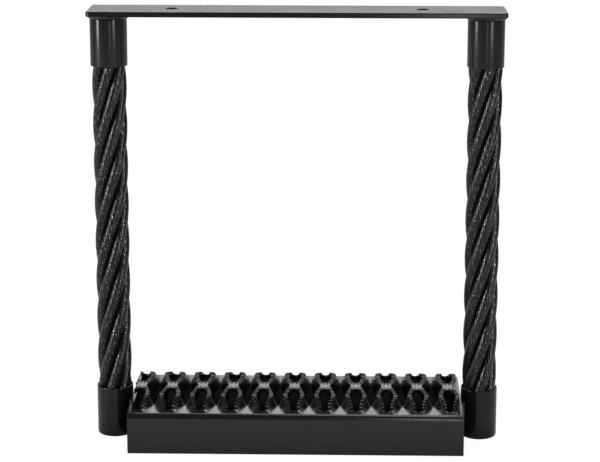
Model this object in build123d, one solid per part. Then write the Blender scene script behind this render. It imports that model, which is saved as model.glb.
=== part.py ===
from build123d import *
import math
import os

# Cable truck step: a flat mounting plate, two wire rope legs and a serrated grating tread.
# The origin is the centre of the plate's top face, which bolts up against the vehicle. X runs
# along the step, Y runs from the front to the vehicle side, Z points up. Sizes are millimetres.

# Mounting plate: flat bar with two bolt holes on its centre line.
plate_length = 381.0
plate_width = 50.8
plate_thickness = 4.8
plate_corner_radius = 4.0
plate_edge_break = 0.8
hole_diameter = 11.1
hole_spacing = 228.6

# Wire ropes: strands laid right-handed around a straight core.
rope_diameter = 31.75
rope_spacing = 345.0
strand_count = 6
lay_length = 222.0
strand_gap = 0.3
rope_end_gap = 0.2
left_rope_turn = 9.0
right_rope_turn = 20.0
strand_facets = 8
stations_per_lay = 10

# Ferrules: short tubes pressed over the rope ends.
ferrule_wall = 1.0
ferrule_clearance = 0.15
ferrule_length = 47.6
ferrule_floor = 3.0
ferrule_foot_break = 1.6

# Tread: one sheet, expanded into a serrated grating and folded down along both sides.
step_height = 406.4
tread_depth = 120.65
flange_height = 38.1
sheet = 2.7
fold_radius = 5.0
end_plate_thickness = 3.2

# Grating pattern: two rows of raised openings with a row of sunk diamonds between them.
pattern_pitch = 29.0
pattern_offset = -2.1
margin = 5.0
widest_place = 25.0
rim_height = 10.0
skirt_depth = 6.0
bridge_half = 6.3
ramp_run = 15.5
tooth_pitch = 6.1
tooth_depth = 1.5
diamond_half_width = 7.0
valley_half = 1.7
# Half widths at land level, at the front, the widest place and the back, and how far the sides lean in.
wall_halves = (8.3, pattern_pitch / 2 - valley_half, 8.1)
wall_lean = 3.4
opening_halves = (4.2, 8.6, 4.0)
opening_lean = 2.0
panel_shares = (0, 0.45, 0.8, 1)

# Welds.
plate_weld_leg = 4.5
tread_weld_reach = 10.0

# Sizes that follow from the ones above.
rope_radius = rope_diameter / 2
ferrule_bore_radius = rope_radius + ferrule_clearance
ferrule_radius = ferrule_bore_radius + ferrule_wall
rope_x = rope_spacing / 2
plate_under = -plate_thickness
land_z = -step_height + flange_height
end_plate_outer_x = rope_x - ferrule_radius
tread_length = 2 * (end_plate_outer_x - end_plate_thickness)
tread_half = tread_depth / 2

# A strand is as thick as its neighbours allow: the chord between two strands, seen square to
# the lay, is one strand and a gap.
half_step = math.pi / strand_count
lay_slope = 2 * math.pi * (rope_radius * 2 / 3) * math.cos(half_step) / lay_length
chord_share = math.sin(half_step) / math.hypot(1, lay_slope)
strand_radius = (rope_radius * chord_share - strand_gap / 2) / (1 + chord_share)
strand_circle = rope_radius - strand_radius
# Between its stations a strand runs straight, which brings it closer to the core.
core_radius = strand_circle * math.cos(math.pi / stations_per_lay) - strand_radius - strand_gap
rope_top = plate_under - rope_end_gap
rope_bottom = -step_height + ferrule_floor + rope_end_gap

os.makedirs("parts", exist_ok=True)


def write(name, shape):
    """One piece to its own file."""
    export_step(shape, f"parts/{name}.step")


def mounting_plate():
    """Flat bar with rounded corners, broken edges and two plain bolt holes."""
    outline = RectangleRounded(plate_length, plate_width, plate_corner_radius)
    bar = extrude(outline, -plate_thickness)
    rims = bar.faces().sort_by(Axis.Z)[-1].edges() + bar.faces().sort_by(Axis.Z)[0].edges()
    bar = chamfer(rims, plate_edge_break)
    holes = GridLocations(hole_spacing, 0, 2, 1) * Cylinder(hole_diameter / 2, 3 * plate_thickness)
    return bar - holes


def upper_ferrule(x):
    """Open tube hanging from the plate."""
    ring = Circle(ferrule_radius) - Circle(ferrule_bore_radius)
    return Pos(x, 0, plate_under) * extrude(ring, -ferrule_length)


def lower_ferrule(x):
    """Cup under the rope's lower end, with a rounded bottom edge."""
    foot = Pos(x, 0, -step_height)
    cup = foot * extrude(Circle(ferrule_radius), ferrule_length)
    cup = chamfer(cup.faces().sort_by(Axis.Z)[0].edges(), ferrule_foot_break)
    bore = foot * Pos(0, 0, ferrule_floor) * extrude(Circle(ferrule_bore_radius), ferrule_length)
    return cup - bore


def strand(x, turn):
    """One strand: its round section, drawn as a regular polygon, climbs on a helix without turning."""
    length = rope_top - rope_bottom
    steps = math.ceil(length / lay_length * stations_per_lay)
    section = RegularPolygon(strand_radius, strand_facets)
    sections = []
    for i in range(steps + 1):
        rise = length * i / steps
        angle = math.radians(turn) + 2 * math.pi * rise / lay_length
        across = strand_circle * math.cos(angle)
        deep = strand_circle * math.sin(angle)
        sections.append(Pos(x + across, deep, rope_bottom + rise) * section)
    return loft(sections, ruled=True)


def rope_core(x):
    """Straight core that the strands close around."""
    return Pos(x, 0, rope_bottom) * extrude(Circle(core_radius), rope_top - rope_bottom)


def plate_weld(x):
    """Fillet weld round the upper ferrule, ending flush with the plate's end."""
    inner = ferrule_radius
    outer = ferrule_radius + plate_weld_leg
    low = plate_under - plate_weld_leg
    section = make_face(Polyline((inner, low), (inner, plate_under), (outer, plate_under), close=True))
    ring = Pos(x, 0, 0) * revolve(Plane.XZ * section, Axis.Z)
    footprint = Rectangle(plate_length - 2 * plate_edge_break, plate_width)
    return ring & Pos(0, 0, low) * extrude(footprint, plate_weld_leg)


def channel_outline():
    """Outer section of the folded tread, land level at zero."""
    block = Pos(0, -flange_height / 2) * Rectangle(tread_depth, flange_height)
    return fillet(block.vertices().group_by(Axis.Y)[-1], fold_radius)


def channel():
    """The folded sheet before it is expanded: a land with two deep flanges."""
    inside = Pos(0, -sheet - flange_height / 2) * Rectangle(tread_depth - 2 * sheet, flange_height)
    inside = fillet(inside.vertices().group_by(Axis.Y)[-1], fold_radius - sheet)
    return along(channel_outline() - inside, -tread_length / 2, tread_length)


def along(section, start, length):
    """A section drawn in depth and height, run along the step from a starting place."""
    return Pos(start, 0, 0) * extrude(Plane.YZ * section, length)


def cone(halves, lean, front, back, low, high):
    """Leaning walls round a raised opening, as flat panels between two heights.

    The half widths at land level are given at the front, at the widest place and at the back. The
    sides run straight to the widest place and round off behind it.
    """
    near, wide, far = halves
    outline = [(near, front)]
    for share in panel_shares:
        half = far + (wide - far) * math.cos(math.pi / 2 * share)
        outline.append((half, widest_place + share * (back - widest_place)))
    levels = []
    for z in (low, high):
        right = [(half - lean * z / rim_height, y - tread_half) for half, y in outline]
        left = [(-x, y) for x, y in reversed(right)]
        levels.append(Pos(0, 0, z) * make_face(Polyline(*right, *left, close=True)))
    return loft(levels, ruled=True)


def crest_height(y):
    """Height of the rim above the land, at a distance behind the front face."""
    return rim_height * min(1, (y - margin) / ramp_run)


def toothed_section():
    """Depth and height room that the raised rims fill: ramps, teeth, bridge and skirts."""
    toothed_run = tread_half - bridge_half - margin
    teeth = round(toothed_run / tooth_pitch)
    crest = []
    for i in range(2 * teeth + 1):
        y = margin + toothed_run * i / (2 * teeth)
        z = crest_height(y)
        crest.append((y - tread_half, z - (i % 2) * min(tooth_depth, z)))
    knee = (margin - tread_half) / 2
    under = [(margin - tread_half, -sheet), (knee, -sheet), (knee / 2, -skirt_depth)]
    half = under[::-1] + crest
    mirror = [(-y, z) for y, z in reversed(half)]
    return make_face(Polyline(*half, *mirror, close=True))


def tread():
    """Serrated grating tread, one folded and expanded sheet."""
    reach = tread_length / 2 + pattern_pitch
    first = math.ceil((-reach - pattern_offset) / pattern_pitch)
    last = math.floor((reach - pattern_offset) / pattern_pitch)
    spots = [Pos(pattern_offset + pattern_pitch * k, 0, 0) for k in range(first, last + 1)]
    rows = [spot * Rot(0, 0, turn) for spot in spots for turn in (0, 180)]
    wall = cone(wall_halves, wall_lean, margin, tread_half, -skirt_depth, rim_height)
    back = tread_half - bridge_half
    low, high = -skirt_depth - 1, rim_height + 1
    opening = cone(opening_halves, opening_lean, margin + sheet, back, low, high)
    run = along(toothed_section(), -tread_length / 2, tread_length)
    raised = run & (Part() + [row * wall for row in rows])
    knee = (tread_half - margin) / 2
    corners = [(0, -knee), (diamond_half_width, 0), (0, knee), (-diamond_half_width, 0)]
    diamond = extrude(make_face(Polyline(*corners, close=True)), high - low)
    diamond = Pos(pattern_pitch / 2, 0, low) * diamond
    grating = channel() + raised - [row * opening for row in rows]
    return grating - [spot * diamond for spot in spots]


def end_plate(side):
    """Plate that closes one end of the folded tread and carries it on the ferrule."""
    start = tread_length / 2 if side > 0 else -end_plate_outer_x
    return Pos(0, 0, land_z) * along(channel_outline(), start, end_plate_thickness)


def tread_weld(side, edge):
    """Bead in the groove between a lower ferrule and its end plate, at the front or the back."""
    face_x = end_plate_outer_x
    depth = rope_x - face_x
    room = Pos(face_x + depth / 4, edge * tread_weld_reach * 0.7)
    bead = room * Rectangle(depth / 2, tread_weld_reach * 0.6) - Pos(rope_x, 0) * Circle(ferrule_radius)
    bead = min(bead.faces(), key=lambda f: abs(f.center().X - face_x))
    tall = Pos(0, 0, -step_height + ferrule_foot_break) * extrude(bead, flange_height - fold_radius)
    return tall if side > 0 else mirror(tall, about=Plane.YZ)


write("mounting_plate", mounting_plate())
for hand, side, turn in (("left", -1, left_rope_turn), ("right", 1, right_rope_turn)):
    x = side * rope_x
    write(f"{hand}_upper_ferrule", upper_ferrule(x))
    write(f"{hand}_plate_weld", plate_weld(x))
    write(f"{hand}_rope_core", rope_core(x))
    for i in range(strand_count):
        write(f"{hand}_rope_strand_{i + 1}", strand(x, turn + 360 * i / strand_count))
    write(f"{hand}_lower_ferrule", lower_ferrule(x))
    write(f"{hand}_end_plate", end_plate(side))
    write(f"{hand}_front_tread_weld", tread_weld(side, -1))
    write(f"{hand}_back_tread_weld", tread_weld(side, 1))
write("tread_grating", Pos(0, 0, land_z) * tread())
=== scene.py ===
import math
import bmesh
import bpy
import numpy as np
from mathutils import Matrix, Vector


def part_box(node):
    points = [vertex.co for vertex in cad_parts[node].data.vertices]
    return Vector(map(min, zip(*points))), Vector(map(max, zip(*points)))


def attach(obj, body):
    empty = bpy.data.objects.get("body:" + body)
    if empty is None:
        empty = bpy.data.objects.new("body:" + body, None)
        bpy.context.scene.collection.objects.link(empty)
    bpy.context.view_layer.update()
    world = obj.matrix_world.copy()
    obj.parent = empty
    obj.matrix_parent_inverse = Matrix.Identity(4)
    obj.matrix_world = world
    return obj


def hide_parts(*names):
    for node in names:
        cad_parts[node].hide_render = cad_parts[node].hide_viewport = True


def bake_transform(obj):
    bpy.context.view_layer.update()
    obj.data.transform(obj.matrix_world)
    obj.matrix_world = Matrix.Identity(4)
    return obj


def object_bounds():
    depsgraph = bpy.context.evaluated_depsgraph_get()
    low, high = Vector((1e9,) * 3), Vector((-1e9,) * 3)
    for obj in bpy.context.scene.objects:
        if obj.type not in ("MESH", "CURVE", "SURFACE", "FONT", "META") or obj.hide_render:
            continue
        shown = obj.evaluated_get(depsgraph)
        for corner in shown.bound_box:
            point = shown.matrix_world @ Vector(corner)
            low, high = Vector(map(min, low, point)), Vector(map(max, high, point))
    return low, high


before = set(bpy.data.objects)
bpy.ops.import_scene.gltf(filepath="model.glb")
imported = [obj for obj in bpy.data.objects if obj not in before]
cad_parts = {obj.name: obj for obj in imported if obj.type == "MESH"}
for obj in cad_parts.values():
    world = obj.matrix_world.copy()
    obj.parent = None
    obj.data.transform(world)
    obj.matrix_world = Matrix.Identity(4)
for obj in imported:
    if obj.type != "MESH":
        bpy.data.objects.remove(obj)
cad_low, cad_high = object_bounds()
scene = bpy.context.scene


# Mounting plate.
# A flat steel bar that bolts up under the vehicle through two plain holes. Its edges are broken and it
# is powder coated gloss black over a faint orange peel.
coat_black = (0.0035, 0.0038, 0.0033)


def powder_coat(name, roughness, peel_size, peel_depth, ior=1.5):
    """Gloss black powder coat: two noises, a fine one that lifts the surface and a broad one that
    varies the gloss and the tone a little."""
    coat = bpy.data.materials.new(name)
    coat.use_nodes = True
    nodes, links = coat.node_tree.nodes, coat.node_tree.links
    shader = nodes["Principled BSDF"]
    shader.inputs["IOR"].default_value = ior
    place = nodes.new("ShaderNodeTexCoord")
    broad = nodes.new("ShaderNodeTexNoise")
    broad.inputs["Scale"].default_value = 35.0
    broad.inputs["Detail"].default_value = 4.0
    links.new(place.outputs["Object"], broad.inputs["Vector"])
    tone = nodes.new("ShaderNodeValToRGB")
    tone.color_ramp.elements[0].position = 0.3
    tone.color_ramp.elements[0].color = (*[0.8 * c for c in coat_black], 1)
    tone.color_ramp.elements[1].position = 0.7
    tone.color_ramp.elements[1].color = (*[1.25 * c for c in coat_black], 1)
    links.new(broad.outputs["Fac"], tone.inputs["Fac"])
    links.new(tone.outputs["Color"], shader.inputs["Base Color"])
    gloss = nodes.new("ShaderNodeMapRange")
    gloss.inputs["To Min"].default_value = roughness - 0.05
    gloss.inputs["To Max"].default_value = roughness + 0.06
    links.new(broad.outputs["Fac"], gloss.inputs["Value"])
    links.new(gloss.outputs["Result"], shader.inputs["Roughness"])
    peel = nodes.new("ShaderNodeTexNoise")
    peel.inputs["Scale"].default_value = 1 / peel_size
    peel.inputs["Detail"].default_value = 2.0
    links.new(place.outputs["Object"], peel.inputs["Vector"])
    bump = nodes.new("ShaderNodeBump")
    bump.inputs["Strength"].default_value = 0.35
    bump.inputs["Distance"].default_value = peel_depth
    links.new(peel.outputs["Fac"], bump.inputs["Height"])
    links.new(bump.outputs["Normal"], shader.inputs["Normal"])
    return coat


plate_coat = powder_coat("plate_coat", roughness=0.16, peel_size=0.0018, peel_depth=0.00004, ior=1.36)
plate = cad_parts["mounting_plate"]
plate.data.materials.clear()
plate.data.materials.append(plate_coat)


# Upper ferrules.
# Short steel tubes pressed over the ropes' upper ends and welded under the plate. The open mouth has
# a small rounded edge, and the tubes share the plate's gloss black coat.
def ring_surface(name, points, joined_across=False):
    """Mesh object at the origin from a grid of points, rows across and columns all the way round.
    The columns close on themselves, and the rows do too where the section is a closed outline."""
    rows, turns = points.shape[:2]
    bands = rows if joined_across else rows - 1
    row, column = np.meshgrid(np.arange(bands), np.arange(turns), indexing="ij")
    on, ahead = (row + 1) % rows, (column + 1) % turns
    corners = [row * turns + column, row * turns + ahead, on * turns + ahead, on * turns + column]
    mesh = bpy.data.meshes.new(name)
    mesh.from_pydata(points.reshape(-1, 3).tolist(), [], np.stack(corners, -1).reshape(-1, 4).tolist())
    built = bmesh.new()
    built.from_mesh(mesh)
    bmesh.ops.remove_doubles(built, verts=built.verts, dist=1e-7)
    bmesh.ops.recalc_face_normals(built, faces=built.faces)
    built.to_mesh(mesh)
    built.free()
    mesh.polygons.foreach_set("use_smooth", np.ones(len(mesh.polygons), bool))
    mesh.set_sharp_from_angle(angle=math.radians(40))
    piece = bpy.data.objects.new(name, mesh)
    scene.collection.objects.link(piece)
    return piece


def turned(axis, profile, turns=96):
    """Grid of a turned shape: a point of the profile at radius r and height h goes round the upright
    axis as (axis x + r cos a, axis y + r sin a, h)."""
    angle = np.linspace(0, 2 * np.pi, turns, endpoint=False)
    radius, height = profile[:, :1], profile[:, 1:]
    across = axis[0] + radius * np.cos(angle)
    return np.stack([across, axis[1] + radius * np.sin(angle), np.broadcast_to(height, across.shape)], -1)


def softened(corners, radius, steps=5):
    """An open outline with each inner corner drawn as a quadratic curve that starts and ends one
    radius away from it."""
    corners = np.array(corners, float)
    share = np.linspace(0, 1, steps + 1)[:, None]
    runs = [corners[:1]]
    for before, corner, after in zip(corners[:-2], corners[1:-1], corners[2:]):
        back, on = before - corner, after - corner
        start = corner + back / np.linalg.norm(back) * radius
        end = corner + on / np.linalg.norm(on) * radius
        runs.append((1 - share) ** 2 * start + 2 * share * (1 - share) * corner + share ** 2 * end)
    return np.concatenate([*runs, corners[-1:]])


ferrule_coat = powder_coat("ferrule_coat", roughness=0.15, peel_size=0.0022, peel_depth=0.00005, ior=1.38)
bore = 0.016025
mouth_round = 0.0005
for hand in ("left", "right"):
    low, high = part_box(f"{hand}_upper_ferrule")
    axis = ((low[0] + high[0]) / 2, (low[1] + high[1]) / 2)
    outer = (high[0] - low[0]) / 2
    section = softened([(bore, high[2]), (bore, low[2]), (outer, low[2]), (outer, high[2])], mouth_round)
    tube = ring_surface(f"{hand}_upper_tube", turned(axis, section), joined_across=True)
    tube.data.materials.append(ferrule_coat)
    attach(tube, "mount")
    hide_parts(f"{hand}_upper_ferrule")


# Welds under the plate.
# One fillet weld runs round each upper ferrule. It is slightly full, wavers a little and ripples where
# the pool froze, and it stops flush with the plate's end.
weld_coat = powder_coat("weld_coat", roughness=0.22, peel_size=0.0014, peel_depth=0.0001)
usual_leg, slow_waver, ripple_depth, ripples = 0.88, 0.06, 0.06, 40
fullness = 0.1
for hand in ("left", "right"):
    low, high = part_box(f"{hand}_plate_weld")
    tube_low, tube_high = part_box(f"{hand}_upper_ferrule")
    tube_x = (tube_low[0] + tube_high[0]) / 2
    inner = (tube_high[0] - tube_low[0]) / 2
    leg = high[2] - low[2]
    around = np.linspace(0, 2 * np.pi, 216, endpoint=False)
    across = np.linspace(0, 1, 9)[:, None]
    # The leg is a share of the drawn one that wavers over three waves a turn and ripples faster. The
    # face between its two toes bulges by half a sine.
    waver = usual_leg + slow_waver * np.sin(3 * around + 0.7) + ripple_depth * np.sin(ripples * around)
    full = fullness * np.sin(np.pi * across)
    radius = inner + leg * waver * (1 - across + full)
    level = high[2] - leg * waver * np.minimum(across + full, 1)
    corner = np.full((1, len(around)), inner)
    radius = np.concatenate([radius, corner])
    level = np.concatenate([level, np.full((1, len(around)), high[2])])
    along = np.clip(tube_x + radius * np.cos(around), low[0], high[0])
    bead = ring_surface(f"{hand}_plate_bead", np.stack([along, radius * np.sin(around), level], -1), True)
    bead.data.materials.append(weld_coat)
    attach(bead, "mount")
    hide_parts(f"{hand}_plate_weld")


# Wire ropes.
# Six strands laid right-handed round a core, each a bundle of wires laid the other way, so that the
# wires on the crowns run straight down. Black paint nearly fills the grooves between the wires.
def painted_wire():
    """Black paint on wire: thick and dull in the grooves, thin, greyer and glossier on the crowns."""
    paint = bpy.data.materials.new("painted_wire")
    paint.use_nodes = True
    nodes, links = paint.node_tree.nodes, paint.node_tree.links
    shader = nodes["Principled BSDF"]
    crown = nodes.new("ShaderNodeAttribute")
    crown.attribute_name = "crown"
    place = nodes.new("ShaderNodeTexCoord")
    patch = nodes.new("ShaderNodeTexNoise")
    patch.inputs["Scale"].default_value = 480.0
    patch.inputs["Detail"].default_value = 4.0
    links.new(place.outputs["Object"], patch.inputs["Vector"])
    thin = nodes.new("ShaderNodeMath")
    thin.operation = "MULTIPLY"
    links.new(crown.outputs["Fac"], thin.inputs[0])
    links.new(patch.outputs["Fac"], thin.inputs[1])
    tone = nodes.new("ShaderNodeValToRGB")
    tone.color_ramp.elements[0].position = 0.2
    tone.color_ramp.elements[0].color = (0.004, 0.0043, 0.005, 1)
    tone.color_ramp.elements[1].position = 0.65
    tone.color_ramp.elements[1].color = (0.007, 0.0078, 0.0095, 1)
    links.new(thin.outputs["Value"], tone.inputs["Fac"])
    links.new(tone.outputs["Color"], shader.inputs["Base Color"])
    gloss = nodes.new("ShaderNodeMapRange")
    gloss.inputs["To Min"].default_value = 0.24
    gloss.inputs["To Max"].default_value = 0.14
    links.new(thin.outputs["Value"], gloss.inputs["Value"])
    links.new(gloss.outputs["Result"], shader.inputs["Roughness"])
    glint = nodes.new("ShaderNodeMapRange")
    glint.inputs["From Min"].default_value = 0.5
    glint.inputs["From Max"].default_value = 0.62
    glint.inputs["To Min"].default_value = 1.37
    glint.inputs["To Max"].default_value = 2.4
    links.new(thin.outputs["Value"], glint.inputs["Value"])
    links.new(glint.outputs["Result"], shader.inputs["IOR"])
    lumps = nodes.new("ShaderNodeBump")
    lumps.inputs["Strength"].default_value = 0.4
    lumps.inputs["Distance"].default_value = 0.0007
    links.new(patch.outputs["Fac"], lumps.inputs["Height"])
    links.new(lumps.outputs["Normal"], shader.inputs["Normal"])
    return paint


rope_paint = painted_wire()
strands, wires, wire_samples, stations = 6, 12, 6, 121
rope_clearance = 0.00015
rope_radius = bore - rope_clearance
lay = 0.222
strand_radius = 0.00505
strand_circle = rope_radius - strand_radius
core_radius = strand_circle - strand_radius
groove_left = 0.18
start_turn = {"left": math.radians(9.0), "right": math.radians(20.0)}
lay_rate = 2 * np.pi / lay
wire_circle = strand_radius / (1 + math.sin(math.pi / wires))
wire_radius = strand_radius - wire_circle
wire_rate = -lay_rate * (strand_circle + wire_circle) / wire_circle
stretch = math.hypot(1, lay_rate * strand_circle)
# Outline of a ring of touching wires, one circle after another, with the grooves part filled.
section = np.linspace(0, 2 * np.pi, wires * wire_samples, endpoint=False)
beside = (section + math.pi / wires) % (2 * math.pi / wires) - math.pi / wires
bulge = np.sqrt(np.maximum(wire_radius ** 2 - (wire_circle * np.sin(beside)) ** 2, 0))
bare = wire_circle * np.cos(beside) + bulge
outline = strand_radius - groove_left * (strand_radius - bare)
height_on_wire = (bare - bare.min()) / (bare.max() - bare.min())
for hand in ("left", "right"):
    low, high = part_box(f"{hand}_rope_core")
    rope_x = (low[0] + high[0]) / 2
    level = np.linspace(low[2], high[2], stations)
    climb = level - low[2]
    # Strand centres climb a helix. The section lies flat, drawn out sideways by the slope of the lay,
    # and turns back against the strand as it climbs.
    turn = start_turn[hand] + np.arange(strands)[:, None, None] * 2 * np.pi / strands
    turn = turn + lay_rate * climb[:, None]
    roll = section + wire_rate * climb[:, None]
    out = strand_circle + outline * np.cos(roll)
    side = stretch * outline * np.sin(roll)
    x = rope_x + out * np.cos(turn) - side * np.sin(turn)
    y = out * np.sin(turn) + side * np.cos(turn)
    z = np.broadcast_to(level[:, None], x.shape)
    core_x = rope_x + core_radius * np.cos(section) + 0 * level[:, None]
    core_y = core_radius * np.sin(section) + 0 * level[:, None]
    points = np.stack([np.concatenate([x, core_x[None]]), np.concatenate([y, core_y[None]]),
                       np.concatenate([z, z[:1]])], -1)
    lines, rows, count = points.shape[:3]
    counts = np.arange(lines), np.arange(rows - 1), np.arange(count)
    line, row, column = np.meshgrid(*counts, indexing="ij")
    base = (line * rows + row) * count
    ahead = (column + 1) % count
    corners = [base + column, base + ahead, base + count + ahead, base + count + column]
    faces = np.stack(corners, -1).reshape(-1, 4).tolist()
    foot = np.arange(lines)[:, None] * rows * count + np.arange(count)
    faces += foot[:, ::-1].tolist() + (foot + (rows - 1) * count).tolist()
    mesh = bpy.data.meshes.new(f"{hand}_wire_rope")
    mesh.from_pydata(points.reshape(-1, 3).tolist(), [], faces)
    mesh.polygons.foreach_set("use_smooth", np.ones(len(mesh.polygons), bool))
    crown = np.broadcast_to(height_on_wire, points.shape[:3]).copy()
    crown[strands] = 0
    crown = crown.astype(np.float32).ravel()
    mesh.attributes.new("crown", "FLOAT", "POINT").data.foreach_set("value", crown)
    mesh.materials.append(rope_paint)
    rope = bpy.data.objects.new(f"{hand}_wire_rope", mesh)
    scene.collection.objects.link(rope)
    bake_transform(rope)
    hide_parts(f"{hand}_rope_core", *[f"{hand}_rope_strand_{i + 1}" for i in range(strands)])


# Lower ferrules.
# Cups pressed over the ropes' lower ends, closed below with a well rounded edge, in the same coat as
# the upper tubes.
foot_round = 0.0024
rope_end_gap = 0.0002
for hand in ("left", "right"):
    low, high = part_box(f"{hand}_lower_ferrule")
    axis = ((low[0] + high[0]) / 2, (low[1] + high[1]) / 2)
    outer = (high[0] - low[0]) / 2
    waist = (low[2] + high[2]) / 2
    floor_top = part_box(f"{hand}_rope_core")[0][2] - rope_end_gap
    outside = softened([(0, low[2]), (outer, low[2]), (outer, waist)], foot_round, steps=8)
    inside = softened([(outer, waist), (outer, high[2]), (bore, high[2]), (bore, waist)], mouth_round)
    section = np.concatenate([outside, inside[1:], [(bore, floor_top), (0, floor_top)]])
    cup = ring_surface(f"{hand}_lower_cup", turned(axis, section))
    cup.data.materials.append(ferrule_coat)
    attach(cup, "step")
    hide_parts(f"{hand}_lower_ferrule")


# End plates and their weld beads.
# A plate closes each end of the folded tread, and two upright beads join it to the lower ferrule. All
# of it is under the same coat.
end_coat = powder_coat("end_coat", roughness=0.24, peel_size=0.0018, peel_depth=0.00006)
end_parts = {"end_plate": end_coat, "front_tread_weld": weld_coat, "back_tread_weld": weld_coat}
for hand in ("left", "right"):
    for part, coat in end_parts.items():
        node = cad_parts[f"{hand}_{part}"]
        node.data.materials.clear()
        node.data.materials.append(coat)


# Tread.
# One steel sheet, slit and drawn up into two rows of keyhole openings with toothed rims, with sunk
# diamonds between the rows, and folded down along the front and the back.
def smooth(t):
    """Eased step from 0 to 1: 3 t squared less 2 t cubed."""
    t = np.clip(t, 0, 1)
    return t * t * (3 - 2 * t)


low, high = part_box("tread_grating")
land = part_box("left_end_plate")[1][2]
half_depth = (high[1] - low[1]) / 2
flange = land - low[2]
sheet, fold = 0.0027, 0.005
pitch, offset = 0.029, -0.0021
# Rim: its height and how far the bridge between the rows lies under it, and the power of its rise.
rim, bridge_drop, rim_rise = 0.01, 0.001, 1.9
# Slit: where it ends, and half widths to the outside of the rim at the neck, widest place and bridge.
slit_front, slit_back = 0.0070, half_depth - 0.0083
neck_x, neck_end = 0.0052, 0.013
wide_x, widest = 0.0098, 0.029
bridge_x = 0.0048
# Lip: how broad the flat of the rim is at the front end, along the neck and round the arch.
lip_front, lip_neck, lip = 0.001, 0.0019, 0.0038
# Wall: half width to its foot at the front, and where the foot spreads out to the next cell.
foot_x, spread_start, spread_run, spread_power = 0.0102, 0.007, 0.021, 1.15
wall_power = 1.2
crest_round, bridge_round, round_run = 0.01, 0.07, 0.015
# Diamond between the rows: where the cell starts to draw in for it, and how deep its edges sink.
valley_end, draw_in_power = 0.031, 0.95
diamond_x = pitch / 2 - 0.007
sink, sink_start, sink_run = 0.006, 0.023, 0.032
# Teeth along the rim: pitch, depth, how sharply they drop, and where they begin and fade.
tooth, tooth_cut, tooth_edge = 0.004, 0.001, 0.9
plain_front, fade_in, fade_out = 0.002, 0.003, 0.004


def edge_of_cell(v):
    """Half width of one opening's cell at a depth: straight, then drawn in along the diamond."""
    drawn_in = np.clip((v - valley_end) / (half_depth - valley_end), 0, 1) ** draw_in_power
    return pitch / 2 - (pitch / 2 - diamond_x) * drawn_in


def crest(v):
    """Half width to the outside of the rim: a neck that swells by an eased step to the widest place,
    then a quarter cosine down to the bridge."""
    swell = neck_x + (wide_x - neck_x) * smooth((v - neck_end) / (widest - neck_end))
    past = np.clip((v - widest) / (half_depth - widest), 0, 1)
    return np.where(v < widest, swell, bridge_x + (wide_x - bridge_x) * np.cos(np.pi / 2 * past))


def height(x, v):
    """Height of the sheet over the land at half width x and depth v: a wall rises from its foot, as
    a power of the way in, up to the crest, which climbs fast at the front and levels off. The turn
    at the crest is rounded by a soft minimum, the more so towards the bridge."""
    top = rim * (1 - (1 - np.clip((v - fold) / (widest - fold), 0, 1)) ** rim_rise)
    top = top - bridge_drop * smooth((v - widest) / (slit_back - widest))
    base = -sink * smooth((v - sink_start) / sink_run)
    spread = np.clip((v - spread_start) / spread_run, 0, 1) ** spread_power
    foot = np.minimum(foot_x + (pitch / 2 - foot_x) * spread, edge_of_cell(v))
    way = (foot - x) / (foot - crest(v))
    soft = crest_round + bridge_round * smooth((v - widest) / round_run)
    way = way - soft * np.logaddexp(0, (way - 1) / soft)
    return base + (top - base) * np.clip(way, 0, 1) ** wall_power


# The slit's edge runs from the front end round the neck and along the side to the back of the arch:
# a quarter of an ellipse, the swelling neck and another quarter. The crest runs a lip further out.
round_samples, side_samples = 60, 80
quarter = np.linspace(0, np.pi / 2, round_samples)
side = np.linspace(neck_end, widest, side_samples)
lip_side = lip_neck + (lip - lip_neck) * smooth((side - neck_end) / (widest - neck_end))
edge_x = np.concatenate([(neck_x - lip_neck) * np.sin(quarter), crest(side) - lip_side,
                         (wide_x - lip) * np.cos(quarter)])
edge_v = np.concatenate([slit_front + (neck_end - slit_front) * (1 - np.cos(quarter)), side,
                         widest + (slit_back - widest) * np.sin(quarter)])
crest_x = np.concatenate([neck_x * np.sin(quarter), crest(side), wide_x * np.cos(quarter)])
crest_v = np.concatenate([neck_end - (neck_end - slit_front + lip_front) * np.cos(quarter), side,
                          widest + (slit_back + lip - widest) * np.sin(quarter)])
gone = np.concatenate([[0], np.cumsum(np.hypot(np.diff(crest_x), np.diff(crest_v)))])
# Lengths along the crest that pair with the corners of the cell's border: two thirds round the front
# end, the widest place, two thirds round the arch, and the end. Steps are the points between them.
two_thirds, arch_start = 40, round_samples + side_samples
corner_samples = [0, two_thirds, arch_start, arch_start + two_thirds, len(gone) - 1]
marks = np.interp(corner_samples, np.arange(len(gone)), gone)
steps = (8, 44, 40, 28)
s = np.concatenate([np.linspace(a, b, n, endpoint=False) for a, b, n in zip(marks, marks[1:], steps)])
s = np.append(s, marks[-1])
edge = np.stack([np.interp(s, gone, edge_x), np.interp(s, gone, edge_v)], -1)
top_line = np.stack([np.interp(s, gone, crest_x), np.interp(s, gone, crest_v)], -1)
border_v = np.interp(s, marks, [fold, fold, valley_end, half_depth, half_depth])
border_x = np.where(s < marks[1], pitch / 2 * s / marks[1], edge_of_cell(border_v))
border_x = np.where(s > marks[3], diamond_x * (marks[4] - s) / (marks[4] - marks[3]), border_x)
border = np.stack([border_x, border_v], -1)
# Straight lines from the edge over the lip to the crest, and on down the wall to the border.
over_lip = np.linspace(0, 1, 3)[:-1, None, None]
column_spread = 1.2
down_wall = (np.linspace(0, 1, 7) ** column_spread)[:, None, None]
flat = np.concatenate([edge + (top_line - edge) * over_lip, top_line + (border - top_line) * down_wall])
flat = flat.transpose(1, 0, 2)
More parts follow.
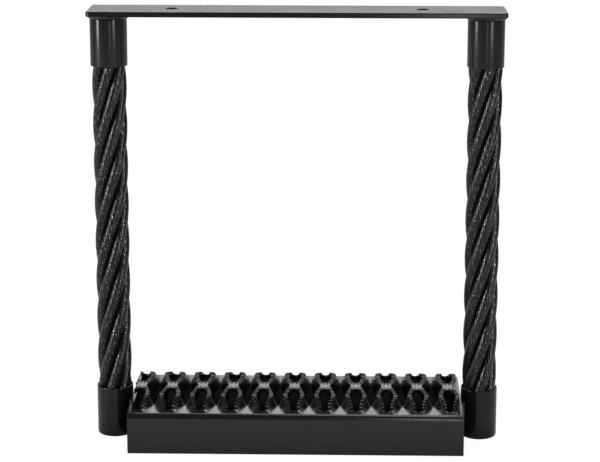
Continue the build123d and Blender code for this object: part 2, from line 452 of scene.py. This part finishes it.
# Notches between the teeth, clipped cosines along the crest, cross the lip and run out on the wall.
teeth = round(gone[-1] / tooth)
notched = smooth((s - plain_front) / fade_in) * smooth((gone[-1] - s) / fade_out)
notch = np.clip(0.5 - tooth_edge * np.cos(2 * np.pi * teeth * s / gone[-1]), 0, 1) * notched
fade = np.array([1, 1, 1, 0.5, 0.1, 0, 0, 0, 0])
level = height(flat[..., 0], flat[..., 1]) - tooth_cut * notch[:, None] * fade
quarter_cell = np.stack([flat[..., 0], flat[..., 1] - half_depth, level], -1)
# Painted shade dims the coat down in the notches: teeth counted along the rim, and the rim's own columns.
cut_run = np.broadcast_to((teeth * s / gone[-1])[:, None], level.shape)
on_rim = notched[:, None] * np.array([1, 1, 1, 0, 0, 0, 0, 0, 0])
# Flange and fold under the front margin, on the same columns as the border's first run.
bend = np.linspace(0, np.pi / 2, 9)
drop_y = np.concatenate([[0, 0, 0], fold - fold * np.cos(bend)]) - half_depth
drop_z = np.concatenate([[-flange, -0.7 * flange, -0.4 * flange], fold * np.sin(bend) - fold])
drop_x = border_x[:steps[0] + 1]
apron = np.stack(np.broadcast_arrays(drop_x, drop_y[:, None], drop_z[:, None]), -1)


def grid_faces(rows, columns):
    """Four-sided faces of a grid of points, rows by columns."""
    row, column = np.meshgrid(np.arange(rows - 1), np.arange(columns - 1), indexing="ij")
    first = row * columns + column
    return np.stack([first, first + 1, first + columns + 1, first + columns], -1).reshape(-1, 4)


cell_points = np.concatenate([quarter_cell.reshape(-1, 3), apron.reshape(-1, 3)]) + (0, 0, land)
cell_faces = np.concatenate([grid_faces(*quarter_cell.shape[:2]),
                             grid_faces(*apron.shape[:2]) + quarter_cell[..., 0].size])
# Each opening is this quarter and its three mirror images, and the openings repeat along the step.
first = math.floor((low[0] - offset) / pitch)
places = offset + pitch * np.arange(first, math.ceil((high[0] - offset) / pitch) + 1)
points, faces = [], []
for place in places:
    for flip in ((1, 1, 1), (-1, 1, 1), (1, -1, 1), (-1, -1, 1)):
        outward = cell_faces if flip[0] == flip[1] else cell_faces[:, ::-1]
        faces.append(outward + len(points) * len(cell_points))
        points.append(cell_points * flip + (place, 0, 0))
mesh = bpy.data.meshes.new("serrated_tread")
mesh.from_pydata(np.concatenate(points).tolist(), [], np.concatenate(faces).tolist())
for name, values in (("cut_run", cut_run), ("on_rim", on_rim)):
    values = np.tile(np.append(values, np.zeros(apron[..., 0].size)), len(points)).astype(np.float32)
    mesh.attributes.new(name, "FLOAT", "POINT").data.foreach_set("value", values)
built = bmesh.new()
built.from_mesh(mesh)
bmesh.ops.remove_doubles(built, verts=built.verts, dist=2e-6)
for end, way in ((low[0], -1), (high[0], 1)):
    everything = built.verts[:] + built.edges[:] + built.faces[:]
    bmesh.ops.bisect_plane(built, geom=everything, plane_co=(end, 0, 0), plane_no=(way, 0, 0),
                           clear_outer=True)
built.to_mesh(mesh)
built.free()
tread = bpy.data.objects.new("serrated_tread", mesh)
scene.collection.objects.link(tread)
wall = tread.modifiers.new("sheet", "SOLIDIFY")
wall.thickness = sheet
wall.offset = -1
thick = bpy.data.meshes.new_from_object(tread.evaluated_get(bpy.context.evaluated_depsgraph_get()))
tread.modifiers.clear()
tread.data = thick
thick.polygons.foreach_set("use_smooth", np.ones(len(thick.polygons), bool))
thick.set_sharp_from_angle(angle=math.radians(40))
tread_coat = powder_coat("tread_coat", roughness=0.17, peel_size=0.0018, peel_depth=0.00006)
# A cosine along the teeth turns the coat's reflection down in the notches, on the rim alone, as painted
# shade.
nodes, links = tread_coat.node_tree.nodes, tread_coat.node_tree.links
run = nodes.new("ShaderNodeAttribute")
run.attribute_name = "cut_run"
angle = nodes.new("ShaderNodeMath")
angle.operation = "MULTIPLY"
angle.inputs[1].default_value = 2 * math.pi
links.new(run.outputs["Fac"], angle.inputs[0])
wave = nodes.new("ShaderNodeMath")
wave.operation = "COSINE"
links.new(angle.outputs["Value"], wave.inputs[0])
between = nodes.new("ShaderNodeMapRange")
between.inputs["From Min"].default_value = 0.2
between.inputs["From Max"].default_value = -0.6
links.new(wave.outputs["Value"], between.inputs["Value"])
rim_share = nodes.new("ShaderNodeAttribute")
rim_share.attribute_name = "on_rim"
depth = nodes.new("ShaderNodeMath")
depth.operation = "MULTIPLY"
links.new(between.outputs["Result"], depth.inputs[0])
links.new(rim_share.outputs["Fac"], depth.inputs[1])
# Painted shade: reflection 0.5 on the teeth, down to 0.04 in the notches.
notch_painted_shade = nodes.new("ShaderNodeMapRange")
notch_painted_shade.inputs["To Min"].default_value = 0.5
notch_painted_shade.inputs["To Max"].default_value = 0.04
links.new(depth.outputs["Value"], notch_painted_shade.inputs["Value"])
links.new(notch_painted_shade.outputs["Result"], nodes["Principled BSDF"].inputs["Specular IOR Level"])
tread.data.materials.append(tread_coat)
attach(tread, "step")
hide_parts("tread_grating")


# Studio.
# A plain pale floor under the step, a white backdrop, three tall strip lights, soft lights overhead and
# behind, and the camera at the photograph's angle.
floor_level = cad_low[2]
reach = 8.0
mesh = bpy.data.meshes.new("studio_floor")
square = ((-reach, -reach), (reach, -reach), (reach, reach), (-reach, reach))
mesh.from_pydata([(x, y, floor_level) for x, y in square], [], [(0, 1, 2, 3)])
studio_floor = bpy.data.objects.new("studio_floor", mesh)
scene.collection.objects.link(studio_floor)
pale = bpy.data.materials.new("pale_floor")
pale.use_nodes = True
nodes, links = pale.node_tree.nodes, pale.node_tree.links
nodes["Principled BSDF"].inputs["Base Color"].default_value = (0.45, 0.46, 0.42, 1)
nodes["Principled BSDF"].inputs["Roughness"].default_value = 0.9
glow = nodes.new("ShaderNodeEmission")
glow.inputs["Strength"].default_value = 1.1
path = nodes.new("ShaderNodeLightPath")
seen = nodes.new("ShaderNodeMath")
seen.operation = "MULTIPLY"
seen.inputs[1].default_value = 0.85
links.new(path.outputs["Is Camera Ray"], seen.inputs[0])
blend = nodes.new("ShaderNodeMixShader")
links.new(seen.outputs["Value"], blend.inputs["Fac"])
links.new(nodes["Principled BSDF"].outputs["BSDF"], blend.inputs[1])
links.new(glow.outputs["Emission"], blend.inputs[2])
links.new(blend.outputs["Shader"], nodes["Material Output"].inputs["Surface"])
mesh.materials.append(pale)

# White to the camera; mirrored, white behind the step and dark on the camera's side of the room.
world = bpy.data.worlds.new("studio")
scene.world = world
world.use_nodes = True
nodes, links = world.node_tree.nodes, world.node_tree.links
path = nodes.new("ShaderNodeLightPath")
toward = nodes.new("ShaderNodeTexCoord")
parts = nodes.new("ShaderNodeSeparateXYZ")
links.new(toward.outputs["Generated"], parts.inputs["Vector"])
mirrored = nodes.new("ShaderNodeMapRange")
mirrored.interpolation_type = "SMOOTHSTEP"
mirrored.inputs["From Min"].default_value = 0.5
mirrored.inputs["From Max"].default_value = 0.97
mirrored.inputs["To Min"].default_value = 0.1
mirrored.inputs["To Max"].default_value = 1.0
links.new(parts.outputs["Y"], mirrored.inputs["Value"])
higher = nodes.new("ShaderNodeMapRange")
higher.interpolation_type = "SMOOTHSTEP"
higher.inputs["From Min"].default_value = 0.1
higher.inputs["From Max"].default_value = 0.3
higher.inputs["To Min"].default_value = 0.15
links.new(parts.outputs["Z"], higher.inputs["Value"])
room = nodes.new("ShaderNodeMath")
room.operation = "MULTIPLY"
links.new(mirrored.outputs["Result"], room.inputs[0])
links.new(higher.outputs["Result"], room.inputs[1])
shiny = nodes.new("ShaderNodeMath")
shiny.operation = "MAXIMUM"
links.new(path.outputs["Is Glossy Ray"], shiny.inputs[0])
links.new(path.outputs["Is Transmission Ray"], shiny.inputs[1])
reflected = nodes.new("ShaderNodeMix")
reflected.inputs["A"].default_value = 0.8
links.new(shiny.outputs["Value"], reflected.inputs["Factor"])
links.new(room.outputs["Value"], reflected.inputs["B"])
level = nodes.new("ShaderNodeMix")
level.inputs["B"].default_value = 1.0
links.new(path.outputs["Is Camera Ray"], level.inputs["Factor"])
links.new(reflected.outputs["Result"], level.inputs["A"])
background = nodes["Background"]
background.inputs["Color"].default_value = (1, 1, 1, 1)
links.new(level.outputs["Result"], background.inputs["Strength"])

aim = Vector((0, 0, -0.2))
for name, place, width, tall, power in (
    ("left_strip", (-1.83, -0.85, 0.2), 0.5, 1.8, 40),
    ("right_strip", (1.2, -1.65, 0.2), 0.35, 1.8, 20),
    ("front_strip", (0.22, -1.5, 0.2), 0.08, 1.8, 2.5),
    ("overhead", (0.5, 0.75, 1.9), 0.9, 1.6, 23),
    ("behind", (0.05, 1.9, 1.0), 1.5, 1.5, 9),
):
    light = bpy.data.lights.new(name, "AREA")
    light.shape = "RECTANGLE"
    light.size, light.size_y = width, tall
    light.energy = power
    lamp = bpy.data.objects.new(name, light)
    turn = (aim - Vector(place)).to_track_quat("-Z", "Y").to_matrix().to_4x4()
    lamp.matrix_world = Matrix.Translation(place) @ turn
    lamp.visible_camera = False
    scene.collection.objects.link(lamp)

camera_place = (0.0414, -1.8000, 0.2465)
yaw, pitch_down, roll = -0.0214, 0.2173, 0.001
focal_pixels, frame_width, shift_down = 1989.9, 600, -0.1
ahead = math.cos(pitch_down)
forward = np.array([math.sin(yaw) * ahead, math.cos(yaw) * ahead, -math.sin(pitch_down)])
level_right = np.array([math.cos(yaw), -math.sin(yaw), 0.0])
level_up = np.cross(level_right, forward)
right = math.cos(roll) * level_right + math.sin(roll) * level_up
up = -math.sin(roll) * level_right + math.cos(roll) * level_up
camera = bpy.data.objects.new("camera", bpy.data.cameras.new("camera"))
turn = Matrix(np.stack([right, up, -forward], 1).tolist()).to_4x4()
camera.matrix_world = Matrix.Translation(camera_place) @ turn
camera.data.sensor_width = 36.0
camera.data.lens = focal_pixels / frame_width * camera.data.sensor_width
camera.data.shift_y = shift_down
scene.collection.objects.link(camera)
scene.camera = camera
scene.view_settings.view_transform = "Standard"
